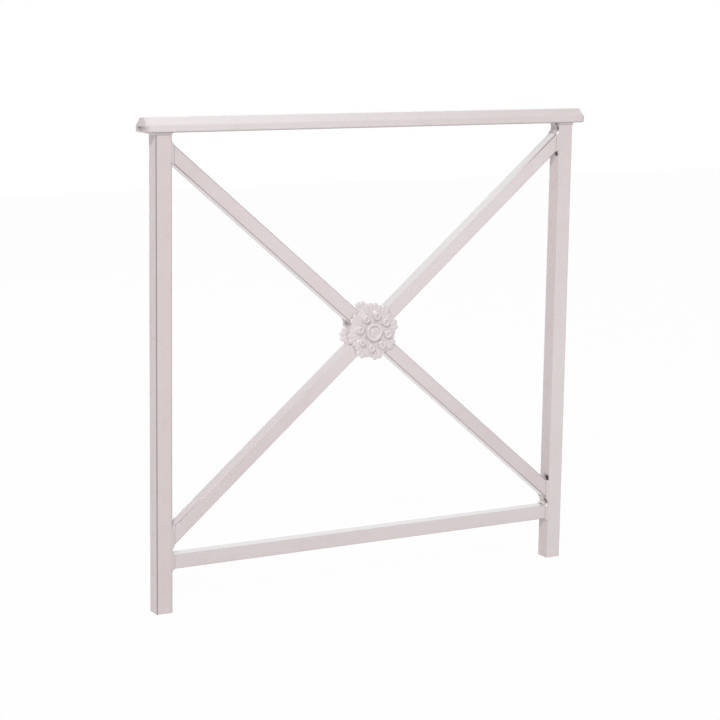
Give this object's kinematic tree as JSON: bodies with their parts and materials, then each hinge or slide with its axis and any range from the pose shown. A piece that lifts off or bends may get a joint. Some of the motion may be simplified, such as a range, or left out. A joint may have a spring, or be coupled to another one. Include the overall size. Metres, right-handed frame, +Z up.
{
  "type": "steel pedestrian barrier",
  "caption": "Welded steel street barrier, a single bay: square posts, ridged hand rail, lower rail, and crossed diagonals on a round hub with a cast leaf rosette on each face.",
  "frame": {"origin": "middle of the left post's foot, on its flat end at ground level", "axes": "+X along the barrier to the right post, +Y from the front to the back, +Z up"},
  "size_m": [1.038, 0.056, 1],
  "materials": {
    "paint": "satin pale pinkish-grey paint on welded steel tube",
    "weld_paint": "the same paint over weld beads",
    "casting_paint": "the same paint on cast iron"
  },
  "bodies": {
    "root": {"left_post": "paint", "right_post": "paint", "handrail": "paint", "handrail_left_cap": "paint", "handrail_right_cap": "paint", "lower_rail": "paint", "rising_diagonal_lower": "paint", "rising_diagonal_upper": "paint", "falling_diagonal_upper": "paint", "falling_diagonal_lower": "paint", "hub": "paint", "left_handrail_weld": "weld_paint", "left_lower_rail_weld": "weld_paint", "left_lower_diagonal_weld": "weld_paint", "left_upper_diagonal_weld": "weld_paint", "right_handrail_weld": "weld_paint", "right_lower_rail_weld": "weld_paint", "right_lower_diagonal_weld": "weld_paint", "right_upper_diagonal_weld": "weld_paint", "front_rosette": "casting_paint", "back_rosette": "casting_paint"}
  },
  "joints": []
}
